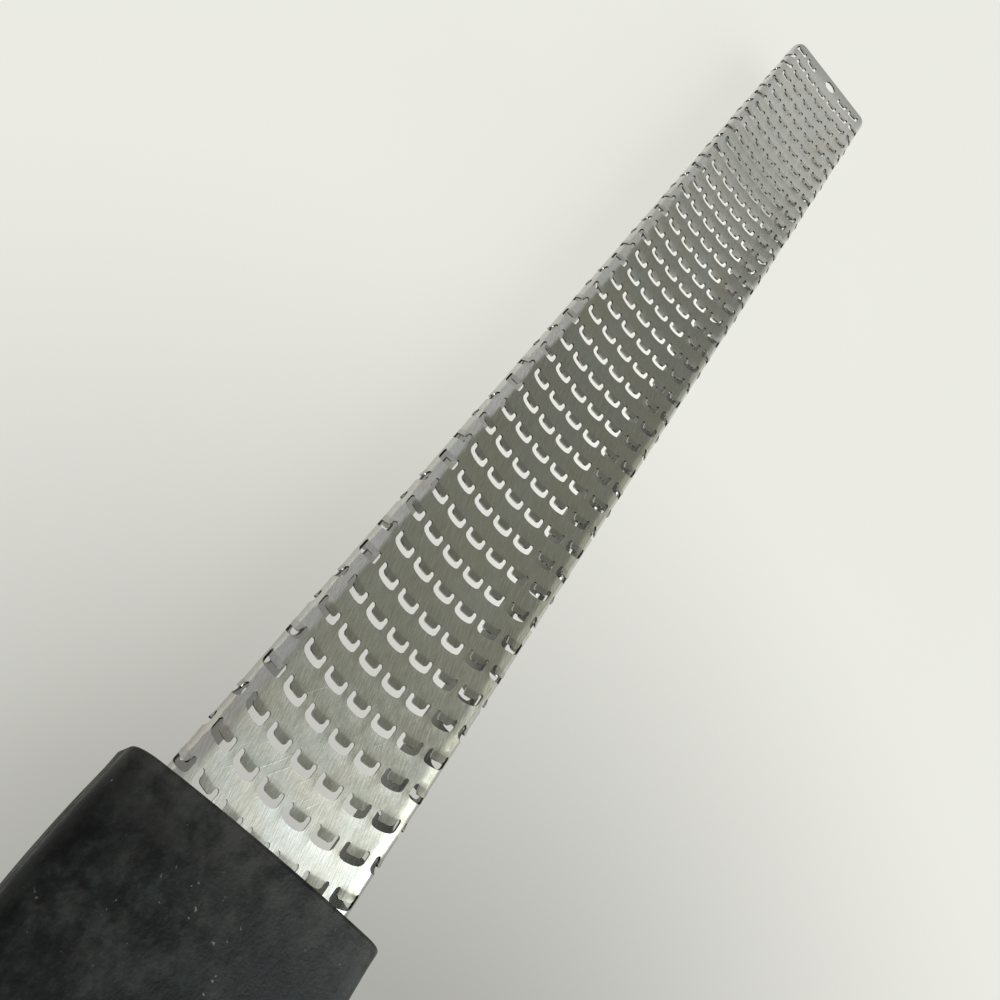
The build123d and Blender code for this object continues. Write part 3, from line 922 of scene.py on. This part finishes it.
# %% [markdown]
# A bare metal face shows the room in it, so the room is part of the blade's look. From this camera the
# part near the handle mirrors what is high up, the middle mirrors what is halfway up, and the far end
# mirrors what is near the horizon. The photograph is bright, dark and then lighter along the blade,
# so the room is bright overhead, darker halfway up and pale at the horizon.


# %% Room
overhead_level, window_level = 0.5, 2.5
dim_level, pale_level = 0.23, 0.81
overhead_tint, window_tint = (0.97, 1.0, 0.97, 1), (0.92, 1.0, 1.04, 1)
wall_tint, low_wall_tint = (0.975, 1.0, 0.82, 1), (0.96, 1.0, 0.87, 1)
pale_tint, left_tint = (0.985, 1.0, 0.96, 1), (0.98, 0.99, 0.985, 1)
backdrop = (0.80, 0.795, 0.75, 1)


def make_room():
    """The room's brightness and tint by direction, for all rays but the camera's.

    It is bright overhead, brightest on the window's side, dim halfway up ahead, pale low down
    ahead and a little dimmer again at the horizon. Past the blade's left side it is an even,
    nearly neutral grey, and on the right side there is some window light everywhere. Overhead it
    is cool daylight, and the dim part has the tint of a painted wall.

    Each ramp runs between two parts of the direction along X or Y. Such a part is 1 straight
    along its axis and 0 square to it, so X grows from overhead down to the horizon ahead, and Y
    is above 0 to the left and below 0 to the right.
    """
    world = bpy.data.worlds.new("room")
    bpy.context.scene.world = world
    nodes = Nodes(world)
    way = nodes.split(nodes.add("ShaderNodeTexCoord").outputs["Generated"])
    low_ahead = nodes.ramp(way["X"], 0.828, 0.88)
    horizon = nodes.ramp(way["X"], 0.895, 0.93, 0.0, -0.2)
    slope = nodes.ramp(way["X"], 0.66, 0.3, 0.0, 0.07)
    overhead = nodes.ramp(way["X"], 0.325, 0.14)
    window = nodes.ramp(way["Y"], -0.16, -0.37)
    away = nodes.ramp(way["Y"], 0.1, 0.4, 1.0, 0.1)
    left = nodes.ramp(way["Y"], 0.0, 0.22)
    left_level = nodes.ramp(way["X"], 0.25, 0.6, 0.45, 0.6)
    right = nodes.ramp(way["Y"], -0.4, -0.56)
    right_level = nodes.ramp(way["X"], 0.38, 0.28, 0.25, 1.3)
    level = nodes.ramp(window, 0, 1, overhead_level, window_level)
    level = nodes.math("MULTIPLY", nodes.math("MULTIPLY", overhead, level), away)
    level = nodes.math("ADD", level, nodes.ramp(low_ahead, 0, 1, dim_level, pale_level))
    for more in (horizon, slope, nodes.math("MULTIPLY", right, right_level)):
        level = nodes.math("ADD", level, more)
    to_left = nodes.math("SUBTRACT", left_level, level)
    level = nodes.math("ADD", level, nodes.math("MULTIPLY", left, to_left))
    daylight = nodes.mix(window, overhead_tint, window_tint)
    wall = nodes.mix(nodes.ramp(way["X"], 0.6, 0.8), wall_tint, low_wall_tint)
    tint = nodes.mix(overhead, wall, daylight)
    tint = nodes.mix(low_ahead, tint, pale_tint)
    tint = nodes.mix(left, tint, left_tint)
    seen = nodes.add("ShaderNodeLightPath").outputs["Is Camera Ray"]
    room = nodes.add("ShaderNodeBackground", {"Color": tint, "Strength": level})
    pale = nodes.add("ShaderNodeBackground", {"Color": backdrop, "Strength": 1.0})
    nodes.surface(nodes.blend(seen, room, pale), "ShaderNodeOutputWorld")
    return world


print("world", make_room().name)

# %% [markdown]
# The room alone would cast hardly any shadow. One wide lamp stands for the window, behind the handle
# and to its right. It gives the floor its soft shadow and the matte handle its light and shade.

# %% Lamp at the window
window_place = Vector((-0.75, -0.8, 1.1))
window_size = 1.2, 0.9
window_power = 6


def add_lamp(name, place, size, power):
    """A wide soft lamp that faces the origin."""
    lamp = bpy.data.lights.new(name, "AREA")
    lamp.shape = "RECTANGLE"
    lamp.size, lamp.size_y = size
    lamp.energy = power
    holder = bpy.data.objects.new(name, lamp)
    holder.location = place
    holder.rotation_mode = "QUATERNION"
    holder.rotation_quaternion = (-place).to_track_quat("-Z", "Y")
    bpy.context.collection.objects.link(holder)


add_lamp("window", window_place, window_size, window_power)
print("one lamp,", round(window_place.length, 2), "m away")

# %% [markdown]
